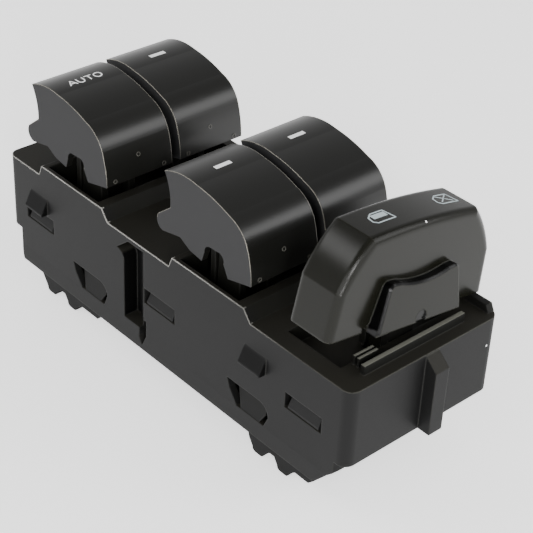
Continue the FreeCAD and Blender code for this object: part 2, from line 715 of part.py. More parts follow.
def slider(mechanism):
    """The block that a leg's nose moves, with the lug that its spring clasps."""
    half = SLIDER_LENGTH / 2
    side = SLIDER_WIDTH / 2
    pocket = mechanism.leg_width / 2 + SLOT_CLEARANCE
    floor = NOSE_Z - NOSE_RADIUS - SLOT_FLOOR_GAP
    block = prism("XZ", -side, side, (-half, SLIDER_BOTTOM), (half, SLIDER_BOTTOM),
                  (half, SLIDER_TOP - 1.0), (half - 1.0, SLIDER_TOP), (-half + 1.0, SLIDER_TOP),
                  (-half, SLIDER_TOP - 1.0))
    lug = box((-LUG_WIDTH / 2, LUG_WIDTH / 2), (side - 0.5, side + LUG_REACH),
              (LUG_BOTTOM, LUG_BOTTOM + LUG_HEIGHT))
    slot = box((-SLOT_HALF, SLOT_HALF), (-pocket, pocket), (floor, SLIDER_TOP + 1))
    return mechanism.put_moving(block.fuse(lug).cut(slot).removeSplitter())


def wiper(mechanism):
    """The bronze strip under a slider, with two feet that run on the board."""
    foot = BOARD_TOP + FACE_GAP
    top = SLIDER_BOTTOM
    under = SLIDER_BOTTOM - WIPER_STRIP
    shape = prism("XZ", -WIPER_WIDTH / 2, WIPER_WIDTH / 2,
                  (-5.0, top), (-5.0, under), (-4.2, under), (-3.4, foot), (-2.8, foot),
                  (-2.0, under), (2.0, under), (2.8, foot), (3.4, foot), (4.2, under),
                  (5.0, under), (5.0, top), (3.95, top), (3.2, foot + WIPER_STRIP),
                  (3.0, foot + WIPER_STRIP), (2.25, top), (-2.25, top),
                  (-3.0, foot + WIPER_STRIP), (-3.2, foot + WIPER_STRIP), (-3.95, top))
    return mechanism.put_moving(shape)


def hairpin(mechanism):
    """The spring that clasps a slider's lug and the post beside it, and so centres it.

    The lock's is turned round: it clasps its post only, and its round end stands between
    the two places of the lug, which has to push past it.
    """
    inner = LUG_WIDTH / 2 + SPRING_GAP
    outer = inner + SPRING_STRIP
    bend = POST_Y + LUG_REACH + SPRING_GAP
    start = SLIDER_WIDTH / 2 + 0.3
    if mechanism.rest:
        start = POST_Y + DETENT_POST + LUG_REACH
        bend = SLIDER_WIDTH / 2 + LUG_REACH - DETENT_REACH + outer
        inner_end, outer_end = bend - inner, bend - outer
    else:
        inner_end, outer_end = bend + inner, bend + outer
    shape = prism("XY", LUG_BOTTOM, LUG_BOTTOM + LUG_HEIGHT,
                  (-outer, start), (-inner, start), (-inner, bend),
                  (0, inner_end, inner, bend), (inner, start), (outer, start),
                  (outer, bend), (0, outer_end, -outer, bend))
    return mechanism.put(shape)


# Circuit board and what it carries

def terminal_places():
    """Centres of the terminals, in two rows in the socket."""
    first = SHROUD_X - (TERMINALS_PER_ROW - 1) * TERMINAL_PITCH / 2
    return [(first + i * TERMINAL_PITCH, side * TERMINAL_ROW_GAP / 2)
            for i in range(TERMINALS_PER_ROW) for side in (-1, 1)]


def terminal_holes(z):
    """Square holes for the terminals between two levels."""
    half = TERMINAL_SIZE / 2 + TERMINAL_CLEARANCE
    return [box((x - half, x + half), (y - half, y + half), z) for x, y in terminal_places()]


def circuit_board():
    near = NEAR_X - NEAR_INSET - WALL - BOARD_END_GAP
    far = FAR_X + FAR_INSET + WALL + BOARD_END_GAP
    board = box((far, near), (-BOARD_WIDTH / 2, BOARD_WIDTH / 2),
                (BOARD_TOP - BOARD_THICKNESS, BOARD_TOP))
    return board.cut(terminal_holes((BOARD_TOP - BOARD_THICKNESS - 1, BOARD_TOP + 1)))


def terminal(x, y):
    """One square pin with a pointed lower end."""
    half = TERMINAL_SIZE / 2
    top = BOARD_TOP + 0.8
    tip = COVER_BOTTOM - TERMINAL_REACH
    pin = box((x - half, x + half), (y - half, y + half), (tip, top))
    ends = [e for e in pin.Edges if abs(e.CenterOfMass.z - tip) < 0.01]
    return pin.makeChamfer(half / 2, ends)


def driver_chip():
    """The lamp driver: a moulded body with a row of legs on each side."""
    length, width, height = CHIP
    x = station(CHIP_STATION)
    body = box((x - length / 2, x + length / 2), (-width / 2, width / 2),
               (BOARD_TOP + 0.2, BOARD_TOP + 0.2 + height))
    leg = prism("YZ", -0.2, 0.2, (width / 2 - 0.3, BOARD_TOP + 1.1), (width / 2 + 0.8, BOARD_TOP + 1.1),
                (width / 2 + 0.8, BOARD_TOP + 0.25), (width / 2 + 1.6, BOARD_TOP + 0.25),
                (width / 2 + 1.6, BOARD_TOP), (width / 2 + 0.5, BOARD_TOP),
                (width / 2 + 0.5, BOARD_TOP + 0.8), (width / 2 - 0.3, BOARD_TOP + 0.8))
    legs = []
    for i in range(7):
        one = placed(leg, (x + (i - 3) * 1.27, 0, 0))
        legs += [one, mirrored(one)]
    return fused(body, *legs)


def light(x, y):
    """One small lamp with a raised square lens."""
    length, width, height = LED
    base = box((x - length / 2, x + length / 2), (y - width / 2, y + width / 2),
               (BOARD_TOP, BOARD_TOP + height * 0.6))
    lens = prism("XZ", y - width * 0.35, y + width * 0.35,
                 (x - length * 0.35, BOARD_TOP + height * 0.6), (x - length * 0.28, BOARD_TOP + height),
                 (x + length * 0.28, BOARD_TOP + height), (x + length * 0.35, BOARD_TOP + height * 0.6))
    return base.fuse(lens)


def backlight_leds():
    """A lamp in front of each window slider and one behind the lock slider."""
    places = [(x + LED_AHEAD, ROW_MIDDLE + sign * ROCKER_Y)
              for x in ROWS.values() for sign in SIDES.values()]
    places.append((LOCK_X - LOCK_LED[0], LOCK_LED[1]))
    return Part.makeCompound([light(x, y) for x, y in places])


def capacitors():
    """Two upright cans on the board between the rows."""
    cans = []
    for y in (-CAPACITOR_Y, CAPACITOR_Y):
        at = Vector(station(CAPACITOR_STATION), y, BOARD_TOP)
        can = Part.makeCylinder(CAPACITOR_RADIUS, CAPACITOR_HEIGHT, at)
        top = [e for e in can.Edges if abs(e.CenterOfMass.z - BOARD_TOP - CAPACITOR_HEIGHT) < 0.01]
        cans.append(can.makeChamfer(0.4, top))
    return Part.makeCompound(cans)


# Base cover

def latch_arm(x):
    """A springy arm of the cover, with a ramped barb for its window."""
    outer = -SIDE_Y + WALL + ARM_GAP
    window_bottom = RIM_Z - LATCH_TOP_DEPTH - LATCH_WINDOW[1]
    shelf = window_bottom + COVER_GAP
    top = RIM_Z - LATCH_TOP_DEPTH + 0.5
    half = ARM_WIDTH / 2
    return prism("YZ", x - half, x + half,
                 (outer, COVER_TOP - 0.5), (outer, shelf), (outer - ARM_BARB, shelf),
                 (outer - ARM_BARB, shelf + 0.6), (outer, top), (outer + ARM_THICKNESS, top),
                 (outer + ARM_THICKNESS, COVER_TOP + 1.0), (outer + ARM_THICKNESS + 1.0, COVER_TOP),
                 (outer + ARM_THICKNESS + 1.0, COVER_TOP - 0.5))


def foot_rail(near, far, first, second):
    """A rail under one side of the cover, with two rounded feet."""
    y = -COVER_HALF_WIDTH
    rail_z = COVER_BOTTOM - RAIL_DROP
    half = FOOT_WIDTH / 2
    start, end = station(far), station(near)
    a, b = station(second), station(first)
    steps = [(start, COVER_BOTTOM + 0.5), (end, COVER_BOTTOM + 0.5), (end, rail_z + 1.5),
             (end - 1.5, rail_z)]
    for foot in (b, a):
        steps += [(foot + half + 0.8, rail_z), (foot + 2.0, 1.2),
                  (foot + 1.7, 0.35, foot + 1.0, 0), (foot - 1.0, 0),
                  (foot - 1.7, 0.35, foot - 2.0, 1.2), (foot - half, rail_z)]
    steps.append((start, COVER_BOTTOM - 2.0))
    return prism("XZ", y, y + RAIL_THICKNESS, *steps)


def base_cover():
    near = NEAR_X - NEAR_FOOT_INSET - WALL + COVER_LIFT / 2 - COVER_GAP
    far = FAR_X + FAR_FOOT_INSET + WALL - COVER_LIFT / 2 + COVER_GAP
    plate = box((far, near), (-COVER_HALF_WIDTH, COVER_HALF_WIDTH), (COVER_BOTTOM, COVER_TOP))
    length, width = SHROUD
    shroud_z = (SHROUD_REVEAL, COVER_BOTTOM + 0.5)
    shroud = box((SHROUD_X - length / 2, SHROUD_X + length / 2), (-width / 2, width / 2), shroud_z)
    corners = [e for e in shroud.Edges if e.BoundBox.ZLength > 1]
    shroud = shroud.makeFillet(1.5, corners)
    key = box((SHROUD_X - 2.0, SHROUD_X + 2.0), (width / 2 - 0.5, width / 2 + 1.8),
              (SHROUD_REVEAL + 1.5, COVER_BOTTOM + 0.5))
    socket = box((SHROUD_X - length / 2 + SHROUD_WALL, SHROUD_X + length / 2 - SHROUD_WALL),
                 (-width / 2 + SHROUD_WALL, width / 2 - SHROUD_WALL), (0, COVER_BOTTOM))
    added = [shroud, key]
    sides = [latch_arm(station(d)) for d in LATCH_STATIONS]
    sides += [foot_rail(*span) for span in RAILS]
    for post_x in (station(d) for d in POST_STATIONS):
        sides.append(box((post_x - POST_SIZE / 2, post_x + POST_SIZE / 2),
                         (-POST_Y_PLACE - POST_SIZE / 2, -POST_Y_PLACE + POST_SIZE / 2),
                         (COVER_TOP - 0.5, BOARD_TOP - BOARD_THICKNESS)))
    added += sides + [mirrored(shape) for shape in sides]
    cuts = [socket] + terminal_holes((COVER_BOTTOM - 1, COVER_TOP + 1))
    return plate.fuse(added).cut(cuts).removeSplitter()


def board_posts():
    """Posts of the housing that hold the board down on the cover's posts."""
    posts = []
    for distance, top in zip(POST_STATIONS, (WELL_UNDERSIDE + DECK / 2, RIM_Z - DECK / 2,
                                             RIM_Z - DECK / 2)):
        x = station(distance)
        one = box((x - POST_SIZE / 2, x + POST_SIZE / 2),
                  (-POST_Y_PLACE - POST_SIZE / 2, -POST_Y_PLACE + POST_SIZE / 2), (BOARD_TOP, top))
        posts += [one, mirrored(one)]
    return posts


def build():
    """Every piece of the switch under the name of its node."""
    nodes = {
        "housing": housing(),
        "base_cover": base_cover(),
        "circuit_board": circuit_board(),
        "connector_terminals": Part.makeCompound([terminal(x, y) for x, y in terminal_places()]),
        "driver_chip": driver_chip(),
        "backlight_leds": backlight_leds(),
        "capacitors": capacitors(),
    }
    for mechanism in mechanisms():
        if mechanism.name == "lock":
            nodes["lock_rocker"] = lock_rocker(mechanism)
        else:
            nodes["rocker_" + mechanism.name] = window_rocker_node(mechanism)
        nodes["slider_" + mechanism.name] = slider(mechanism)
        nodes["wiper_" + mechanism.name] = wiper(mechanism)
        nodes["hairpin_" + mechanism.name] = hairpin(mechanism)
    return nodes


os.makedirs("parts", exist_ok=True)
for node, shape in build().items():
    shape.exportStep("parts/" + node + ".step")
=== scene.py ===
import json
import math

import bmesh
import bpy
from mathutils import Matrix, Vector
from mathutils.bvhtree import BVHTree

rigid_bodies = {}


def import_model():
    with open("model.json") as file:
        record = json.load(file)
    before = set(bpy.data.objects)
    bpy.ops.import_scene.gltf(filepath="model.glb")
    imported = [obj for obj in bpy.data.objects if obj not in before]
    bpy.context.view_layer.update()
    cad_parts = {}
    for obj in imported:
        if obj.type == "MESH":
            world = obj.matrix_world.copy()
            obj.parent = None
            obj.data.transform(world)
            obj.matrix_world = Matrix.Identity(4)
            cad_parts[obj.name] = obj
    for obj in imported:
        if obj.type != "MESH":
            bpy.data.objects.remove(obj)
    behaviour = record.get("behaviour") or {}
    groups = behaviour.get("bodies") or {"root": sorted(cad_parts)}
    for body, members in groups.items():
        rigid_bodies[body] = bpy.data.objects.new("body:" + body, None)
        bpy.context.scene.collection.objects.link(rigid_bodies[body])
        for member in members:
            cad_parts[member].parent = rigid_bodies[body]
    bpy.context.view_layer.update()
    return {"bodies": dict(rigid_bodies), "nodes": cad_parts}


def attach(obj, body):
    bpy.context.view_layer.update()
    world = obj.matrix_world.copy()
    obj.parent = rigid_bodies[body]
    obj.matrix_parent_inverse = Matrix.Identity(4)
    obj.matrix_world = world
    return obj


MM = 0.001

# Places in the row frame, in millimetres
NEAR_END = 63.25
ROW_MIDDLE = -0.85
ROWS = {"front": NEAR_END - 101.0, "rear": NEAR_END - 47.4}
SIDES = {"left": ROW_MIDDLE - 11.5, "right": ROW_MIDDLE + 11.5}
PLACES = {row + "_" + side: (x, y) for row, x in ROWS.items() for side, y in SIDES.items()}
WINDOWS = list(PLACES)
RIM = 38.0
SIDE = 23.85
STRIP_TOP = 12.0
BOARD_TOP = 17.0
SHROUD_X = NEAR_END - 65.0
SCOOP_X = (NEAR_END - 82.6, NEAR_END - 71.8)
SCOOP_FOOT = RIM - 24.4
LOCK_X = NEAR_END - 13.15
LOCK_PIVOT_Z = 46.1
LOCK_PANEL_BACK = LOCK_X + 6.4
LOCK_PIN_RADIUS = 1.7
SPECK_ON_LOCK = (55.85, 2.64, 67.8)
SPECK_ON_WALL = (NEAR_END, 20.5, 30.6)

# Where the housing's tints begin and end, in millimetres along one axis
STRIP_BAND = (STRIP_TOP + 0.3, STRIP_TOP - 0.3)
INSIDE_WALL = (-SIDE + 0.2, -SIDE + 4.0)
LEFT_HALF = (0.0, -1.0)
SHORT_OF_ENDS = (NEAR_END - 3.0, NEAR_END - 4.0)
SCOOP_START = (SCOOP_X[0] - 0.2, SCOOP_X[0])
SCOOP_STOP = (SCOOP_X[1] + 0.2, SCOOP_X[1])
SCOOP_RAMP = (SCOOP_X[0] + 3.0, SCOOP_X[1])
OVER_SCOOP_FOOT = (SCOOP_FOOT - 0.2, SCOOP_FOOT)
BEHIND_WALL_FACE = (-SIDE + 0.02, -SIDE + 0.08)
RIM_EDGE = (RIM - 0.6, RIM - 0.4)
PROUD_OF_SIDES = (SIDE + 0.1, SIDE + 0.3)
OVER_STRIP = (STRIP_TOP + 1, STRIP_TOP + 2)
OVER_DECK = (RIM + 0.05, RIM + 0.3)
BEFORE_LOCK = (LOCK_X + 2.0, LOCK_X + 2.2)
RIB_SPAN = (21, 20)
OUTER_SIDES = (SIDE - 1.0, SIDE - 0.8)
OUTER_END = (NEAR_END - 0.8, NEAR_END - 0.6)
# Where the rim edge's painted highlight fades from its far tone to its near tone
RIM_HIGHLIGHT_SPAN = (5, 45)
LATCH_ARMS = (STRIP_TOP, STRIP_TOP + 1)

# How far up a face looks, and how far aside, where one tint takes over from another
FACING_UP = (0.6, 0.8)
FACING_ASIDE = (0.8, 0.95)
OFF_THE_PANEL = (0.85, 0.7)
LIT_EDGE = (0.0, 0.15)


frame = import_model()


# Materials

GRAIN_DETAIL = 3.0
GRAIN_HEIGHT = 0.02
EDGE_SAMPLES = 4
EDGE_TURN = (0.995, 0.9)
PLASTIC_IOR = 1.5
SIDE_ROUGHNESS = 0.8


def colour(hex_code):
    """An sRGB hex colour as the linear values that a shader takes."""
    parts = [int(hex_code[i:i + 2], 16) / 255 for i in (1, 3, 5)]
    return [p / 12.92 if p <= 0.04045 else ((p + 0.055) / 1.055) ** 2.4 for p in parts] + [1.0]


def add(tree, kind, settings=None, **links):
    """Adds a node, sets its properties and sockets, and links what is given by socket name.

    A socket is named with underscores for spaces, or by its number after an underscore.
    """
    node = tree.nodes.new(kind)
    for name, value in (settings or {}).items():
        if hasattr(node, str(name)):
            setattr(node, name, value)
        else:
            node.inputs[name].default_value = value
    for name, source in links.items():
        place = int(name[1:]) if name[0] == "_" else name.replace("_", " ")
        tree.links.new(source, node.inputs[place])
    return node


def material(name, base, roughness, metallic=0.0, specular=0.5):
    """A new material with its shader's plain settings; returns it, its tree and the shader."""
    made = bpy.data.materials.new(name)
    made.use_nodes = True
    tree = made.node_tree
    shader = tree.nodes["Principled BSDF"]
    shader.inputs["Base Color"].default_value = colour(base)
    shader.inputs["Roughness"].default_value = roughness
    shader.inputs["Metallic"].default_value = metallic
    shader.inputs["IOR"].default_value = PLASTIC_IOR
    shader.inputs["Specular IOR Level"].default_value = specular
    return made, tree, shader


def grain(tree, shader, size_mm, depth, low, high, edge_mm=0.0):
    """Moulded grain: a fine bump on softened edges, with the roughness moving on it too.

    It takes the grain's size, the bump's strength, the least and most roughness, and the
    radius of the softened edges.
    Real grain on such parts is about 0.1 mm, which doesn't show at this distance, so it is
    drawn 0.2 to 0.6 mm coarse. Returns the softened normal, or None where edges stay sharp.
    """
    place = add(tree, "ShaderNodeTexCoord")
    noise = add(tree, "ShaderNodeTexNoise", {"Scale": 1 / (size_mm * MM), "Detail": GRAIN_DETAIL},
                Vector=place.outputs["Object"])
    spread = add(tree, "ShaderNodeMapRange", {"To Min": low, "To Max": high},
                 Value=noise.outputs["Fac"])
    tree.links.new(spread.outputs["Result"], shader.inputs["Roughness"])
    bump = add(tree, "ShaderNodeBump", {"Strength": depth, "Distance": GRAIN_HEIGHT * MM},
               Height=noise.outputs["Fac"])
    tree.links.new(bump.outputs["Normal"], shader.inputs["Normal"])
    if not edge_mm:
        return None
    soft = add(tree, "ShaderNodeBevel", {"samples": EDGE_SAMPLES, "Radius": edge_mm * MM})
    tree.links.new(soft.outputs["Normal"], bump.inputs["Normal"])
    return soft


def edge_mask(tree, soft):
    """One on the rounded edges and nought on the faces between them."""
    true = add(tree, "ShaderNodeNewGeometry")
    along = add(tree, "ShaderNodeVectorMath", {"operation": "DOT_PRODUCT"},
                _0=soft.outputs["Normal"], _1=true.outputs["Normal"])
    return step_mask(tree, along.outputs["Value"], *EDGE_TURN)


def mixed(tree, mask, first, second):
    """A colour that goes from the first to the second as a mask rises."""
    node = add(tree, "ShaderNodeMix", {"data_type": "RGBA"}, _0=mask)
    for socket, value in ((6, first), (7, second)):
        if isinstance(value, str):
            node.inputs[socket].default_value = colour(value)
        else:
            tree.links.new(value, node.inputs[socket])
    return node.outputs[2]


def moulded(name, base, grain_mm, depth, low, high, metallic=0.0):
    """A plain material with grain: its colour, grain size, bump and span of roughness."""
    made, tree, shader = material(name, base, (low + high) / 2, metallic)
    grain(tree, shader, grain_mm, depth, low, high)
    return made


def step_mask(tree, value, low, high):
    """Rises from nought to one as a value goes from low to high, or falls where high is less."""
    return add(tree, "ShaderNodeMapRange", {"From Min": low, "From Max": high},
               Value=value).outputs["Result"]


def span_mask(tree, place, span):
    """A step between two places in millimetres."""
    return step_mask(tree, place, span[0] * MM, span[1] * MM)


def both(tree, first, *others):
    """The product of two masks or more."""
    for other in others:
        first = add(tree, "ShaderNodeMath", {"operation": "MULTIPLY"},
                    _0=first, _1=other).outputs[0]
    return first


def size_of(tree, value):
    """A value without its sign."""
    return add(tree, "ShaderNodeMath", {"operation": "ABSOLUTE"}, _0=value).outputs[0]


def greater(tree, first, second):
    return add(tree, "ShaderNodeMath", {"operation": "MAXIMUM"}, _0=first, _1=second).outputs[0]


def axes(tree, vector):
    return add(tree, "ShaderNodeSeparateXYZ", Vector=vector).outputs


def object_place(tree):
    return axes(tree, add(tree, "ShaderNodeTexCoord").outputs["Object"])


def face_direction(tree):
    return axes(tree, add(tree, "ShaderNodeNewGeometry").outputs["Normal"])


# Most of these tints are painted light and shade; each is marked where it is used.
HOUSING_TINTS = {"wall": "#121212", "strip": "#1e1e1e", "inside": "#161613", "scoop": "#020202",
                 "ramp": "#1c1c1c", "edge": "#2a2a28", "barb": "#040404", "deck": "#24231f",
                 "rib": "#121210", "rib_top_highlight": "#66665e", "far_rim": "#c8c6c0",
                 "near_rim_highlight": "#45453f"}


def housing_plastic():
    """Injection-moulded ABS, semi-matte: a soft even sheen on dark grey walls.

    The foot strip is a little paler. Light and shade are painted in: upward faces olive black and
    the rib tops pale, the rounded edges paler, the outer rim edge pale towards the far end, and
    the scoop, the wedges proud of the walls and the faces behind the near wall in shade tones.
    """
    tints = HOUSING_TINTS
    made, tree, shader = material("moulded_abs_housing", tints["wall"], 0.5, specular=0.13)
    soft = grain(tree, shader, 0.35, 0.5, 0.45, 0.58, 0.5)
    place = object_place(tree)
    upward = step_mask(tree, face_direction(tree)["Z"], *FACING_UP)
    across = size_of(tree, place["Y"])
    left = span_mask(tree, place["Y"], LEFT_HALF)

    tint = mixed(tree, span_mask(tree, place["Z"], STRIP_BAND), tints["wall"], tints["strip"])
    # Painted shade: the faces behind the near long wall's face, in its windows, wells and
    # recesses, get an olive tone of their own, set for how dark their shade looks.
    inside = both(tree, span_mask(tree, place["Y"], INSIDE_WALL), left,
                  span_mask(tree, size_of(tree, place["X"]), SHORT_OF_ENDS))
    tint = mixed(tree, inside, tint, tints["inside"])
    # Painted shade: the scoop is painted near black at its deep end, fading paler up its ramp.
    scoop = both(tree, span_mask(tree, place["X"], SCOOP_START),
                 span_mask(tree, place["X"], SCOOP_STOP),
                 span_mask(tree, place["Y"], BEHIND_WALL_FACE),
                 span_mask(tree, place["Z"], OVER_SCOOP_FOOT), left)
    ramp = mixed(tree, span_mask(tree, place["X"], SCOOP_RAMP), tints["scoop"], tints["ramp"])
    tint = mixed(tree, scoop, tint, ramp)

    # Painted highlight: the rounded edges are painted paler than the walls.
    edges = edge_mask(tree, soft)
    tint = mixed(tree, edges, tint, tints["edge"])
    # Painted shade: the wedges standing proud of the long walls are painted near black.
    barb = both(tree, span_mask(tree, across, PROUD_OF_SIDES),
                span_mask(tree, place["Z"], OVER_STRIP))
    tint = mixed(tree, barb, tint, tints["barb"])
    # Painted light: faces that look up are painted an olive tone paler than the walls.
    tint = mixed(tree, upward, tint, tints["deck"])

    # Painted light: the ribs over the deck keep a dark tone on their sides, and their upward faces
    # are painted pale as a highlight.
    ribs = both(tree, span_mask(tree, place["Z"], OVER_DECK),
                span_mask(tree, place["X"], BEFORE_LOCK))
    tint = mixed(tree, ribs, tint, tints["rib"])
    rib_tops = both(tree, ribs, upward, span_mask(tree, across, RIB_SPAN))
    tint = mixed(tree, rib_tops, tint, tints["rib_top_highlight"])

    # Painted highlight: the outer edge of the rim is painted pale, brightest towards the far end
    # and dimmer at the near end.
    outer = greater(tree, span_mask(tree, across, OUTER_SIDES),
                    span_mask(tree, place["X"], OUTER_END))
    rim_highlight = mixed(tree, span_mask(tree, place["X"], RIM_HIGHLIGHT_SPAN), tints["far_rim"],
                 tints["near_rim_highlight"])
    rim_edges = both(tree, span_mask(tree, place["Z"], RIM_EDGE), edges, outer)
    tint = mixed(tree, rim_edges, tint, rim_highlight)
    tree.links.new(tint, shader.inputs["Base Color"])
    return made


def cover_nylon():
    """Injection-moulded nylon, matte and without gloss, with light and shade painted in: near
    black feet and paler grey latch arms.
    """
    made, tree, shader = material("moulded_nylon_cover", "#080808", 0.6, specular=0.15)
    grain(tree, shader, 0.35, 0.5, 0.55, 0.7, 0.2)
    # Painted light and shade: the nylon is painted near black low down on the feet and paler grey
    # up on the latch arms.
    arms = span_mask(tree, object_place(tree)["Z"], LATCH_ARMS)
    tree.links.new(mixed(tree, arms, "#060606", "#1d1d1d"), shader.inputs["Base Color"])
    return made


def lock_plastic():
    """Injection-moulded ABS from a smoother tool, glossy, with a painted pale highlight on its
    bends.

    It is olive grey, with the flanks round its raised panel painted black as a dark reflection,
    and a black pin end.
    """
    base, black = "#10100b", "#020202"
    made, tree, shader = material("glossy_moulded_abs", base, 0.2, specular=0.19)
    soft = grain(tree, shader, 0.25, 0.15, 0.17, 0.25, 0.6)
    place = object_place(tree)
    proud = span_mask(tree, place["X"], (LOCK_PANEL_BACK, LOCK_PANEL_BACK + 0.2))
    flank = step_mask(tree, face_direction(tree)["X"], *OFF_THE_PANEL)
    # Painted highlight: the lock rocker's bends are painted paler.
    tint = mixed(tree, edge_mask(tree, soft), base, "#25251e")
    # Painted reflection: the flanks round the raised panel are painted near black, like the dark
    # surroundings that they mirror.
    tint = mixed(tree, both(tree, proud, flank), tint, black)
    drop = add(tree, "ShaderNodeMath", {"operation": "SUBTRACT", 1: LOCK_PIVOT_Z * MM},
               _0=place["Z"]).outputs[0]
    spoke = add(tree, "ShaderNodeCombineXYZ", X=place["Y"], Y=drop)
    reach = add(tree, "ShaderNodeVectorMath", {"operation": "LENGTH"}, _0=spoke.outputs[0])
    pin = span_mask(tree, reach.outputs["Value"], (LOCK_PIN_RADIUS + 0.05, LOCK_PIN_RADIUS - 0.05))
    tint = mixed(tree, both(tree, proud, pin), tint, "#040404")
    tree.links.new(tint, shader.inputs["Base Color"])
    return made


def rocker_paint():
    """ABS sprayed with satin black: one broad soft highlight runs across the crown.

    The two side faces are matte and painted paler for the light on them, and the edges that look
    up carry a painted pale highlight.
    """
    base = "#121210"
    made, tree, shader = material("satin_painted_abs", base, 0.32, specular=0.4)
    soft = grain(tree, shader, 0.25, 0.25, 0.27, 0.35, 0.28)
    side = step_mask(tree, size_of(tree, face_direction(tree)["Y"]), *FACING_ASIDE)
    satin = shader.inputs["Roughness"].links[0].from_socket
    matte = add(tree, "ShaderNodeMath", {"operation": "MULTIPLY", 1: SIDE_ROUGHNESS},
                _0=side).outputs[0]
    tree.links.new(greater(tree, matte, satin), shader.inputs["Roughness"])
    lit = step_mask(tree, axes(tree, soft.outputs["Normal"])["Z"], *LIT_EDGE)
    # Painted light: the side faces are painted paler than the crown.
    tint = mixed(tree, side, base, "#1e1e1f")
    # Painted highlight: the edges that look up are painted pale.
    tint = mixed(tree, both(tree, edge_mask(tree, soft), lit), tint, "#aeaa9d")
    tree.links.new(tint, shader.inputs["Base Color"])
    return made


FINISHES = {
    "housing": housing_plastic(),
    "base_cover": cover_nylon(),
    "lock_rocker": lock_plastic(),
    # Green resist over glass laminate: smooth, with a faint gloss
    "circuit_board": moulded("solder_resist_laminate", "#1f4a2c", 0.6, 0.2, 0.25, 0.4),
    # Plated pins: a pale metal with soft reflections
    "connector_terminals": moulded("tin_plated_brass", "#b7b09a", 0.3, 0.2, 0.25, 0.35,
                                   metallic=1.0),
    # Moulded epoxy: dull charcoal
    "driver_chip": moulded("moulded_epoxy_chip", "#1b1b1d", 0.2, 0.4, 0.5, 0.6),
    # Cast resin: milky and shiny
    "backlight_leds": moulded("cast_led_resin", "#d9d3b8", 0.4, 0.1, 0.1, 0.2),
    # Drawn cans: bright metal
    "capacitors": moulded("drawn_aluminium_can", "#b9bcc0", 0.3, 0.2, 0.25, 0.35,
                          metallic=1.0),
}
rocker_finish = rocker_paint()
# The moulding rings are painted paler and are smoother than the rocker: a painted highlight on
# their small bumps
dot_finish = moulded("satin_painted_abs_ring_highlight", "#4a4944", 0.25, 0.1, 0.2, 0.3)
# Natural acetal: waxy off-white
acetal = moulded("moulded_acetal", "#cfccc2", 0.4, 0.2, 0.3, 0.4)
# Rolled bronze strip: warm, with soft reflections
bronze = moulded("rolled_phosphor_bronze", "#b98850", 0.3, 0.2, 0.25, 0.35, metallic=1.0)
# Drawn spring strip: bright grey
spring = moulded("bright_spring_steel", "#8f9296", 0.3, 0.2, 0.2, 0.3, metallic=1.0)
# Pad-printed inks: flat and opaque, the lock rocker's one cooler and duller
white_ink = moulded("pad_printed_white_ink", "#ffffff", 0.3, 0.1, 0.3, 0.4)
lock_ink = moulded("pad_printed_pale_grey_ink", "#b9c6ca", 0.3, 0.1, 0.4, 0.5)
# Reflowed solder: smooth and bright
solder = moulded("reflowed_tin_solder", "#c3c4c4", 0.3, 0.2, 0.2, 0.3, metallic=1.0)
for name in WINDOWS:
    FINISHES["rocker_" + name] = rocker_finish
for name in WINDOWS + ["lock"]:
    FINISHES["slider_" + name] = acetal
    FINISHES["wiper_" + name] = bronze
    FINISHES["hairpin_" + name] = spring
for name, finish in FINISHES.items():
    node = frame["nodes"][name]
    node.data.materials.clear()
    node.data.materials.append(finish)


# Printed marks, laid on the rockers as thin ink

# In millimetres: thicknesses, the longest step along a stroke, and how far out the rays start
# that find the surface
INK = 0.03
MOULDING_RING = 0.12
STROKE_STEP = 0.3
RAY_START = 3


def new_object(name, mesh, finish):
    made = bpy.data.objects.new(name, mesh)
    bpy.context.scene.collection.objects.link(made)
    mesh.materials.append(finish)
    return made


def resampled(points, step):
    """The points of a broken line with no two further apart than a step."""
    found = [Vector(points[0])]
    for a, b in zip(points, points[1:]):
        a, b = Vector(a), Vector(b)
        count = max(1, math.ceil((b - a).length / step))
        found += [a + (b - a) * (i + 1) / count for i in range(count)]
    return found


def stroke_section(line, i, width):
    """The two side points of a stroke at one of its points, in the plane of the mark."""
    way = line[min(i + 1, len(line) - 1)] - line[max(i - 1, 0)]
    side = Vector((-way.y, way.x)).normalized() * width / 2
    return line[i] + side, line[i] - side


def printed(name, node, near, strokes, finish, thickness=INK):
    """Strokes of ink laid on a node's surface, round the surface point nearest to a place.

    A stroke is its width and the points of its line, in millimetres: the first value runs
    the way the mark reads, which is along +Y, and the second towards its top. The ink goes as
    deep under the surface as it stands over it, so no gap shows.
    """
    source = frame["nodes"][node].data
    surface = BVHTree.FromPolygons([v.co for v in source.vertices],
                                   [list(p.vertices) for p in source.polygons])
    centre, out, _, _ = surface.find_nearest(Vector(near) * MM)
    reading = Vector((0, 1, 0))
    across = (reading - out * out.dot(reading)).normalized()
    up = out.cross(across)

    def on_surface(point):
        start = centre + (across * point.x + up * point.y + out * RAY_START) * MM
        hit, normal, _, _ = surface.ray_cast(start, -out)
        return hit, normal

    ink = bmesh.new()
    for width, points in strokes:
        line = resampled(points, STROKE_STEP)
        rings = []
        for i in range(len(line)):
            left, right = (on_surface(p) for p in stroke_section(line, i, width))
            rings.append([ink.verts.new(hit + normal * lift * MM)
                          for (hit, normal), lift in ((left, thickness), (right, thickness),
                                                      (right, -thickness), (left, -thickness))])
        for a, b in zip(rings, rings[1:]):
            for j in range(4):
                ink.faces.new((a[j], a[(j + 1) % 4], b[(j + 1) % 4], b[j]))
        ink.faces.new(rings[0])
        ink.faces.new(reversed(rings[-1]))
    bmesh.ops.recalc_face_normals(ink, faces=ink.faces)
    mesh = bpy.data.meshes.new(name)
    ink.to_mesh(mesh)
    ink.free()
    made = new_object(name, mesh, finish)
    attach(made, node if node in frame["bodies"] else "base")
    return made


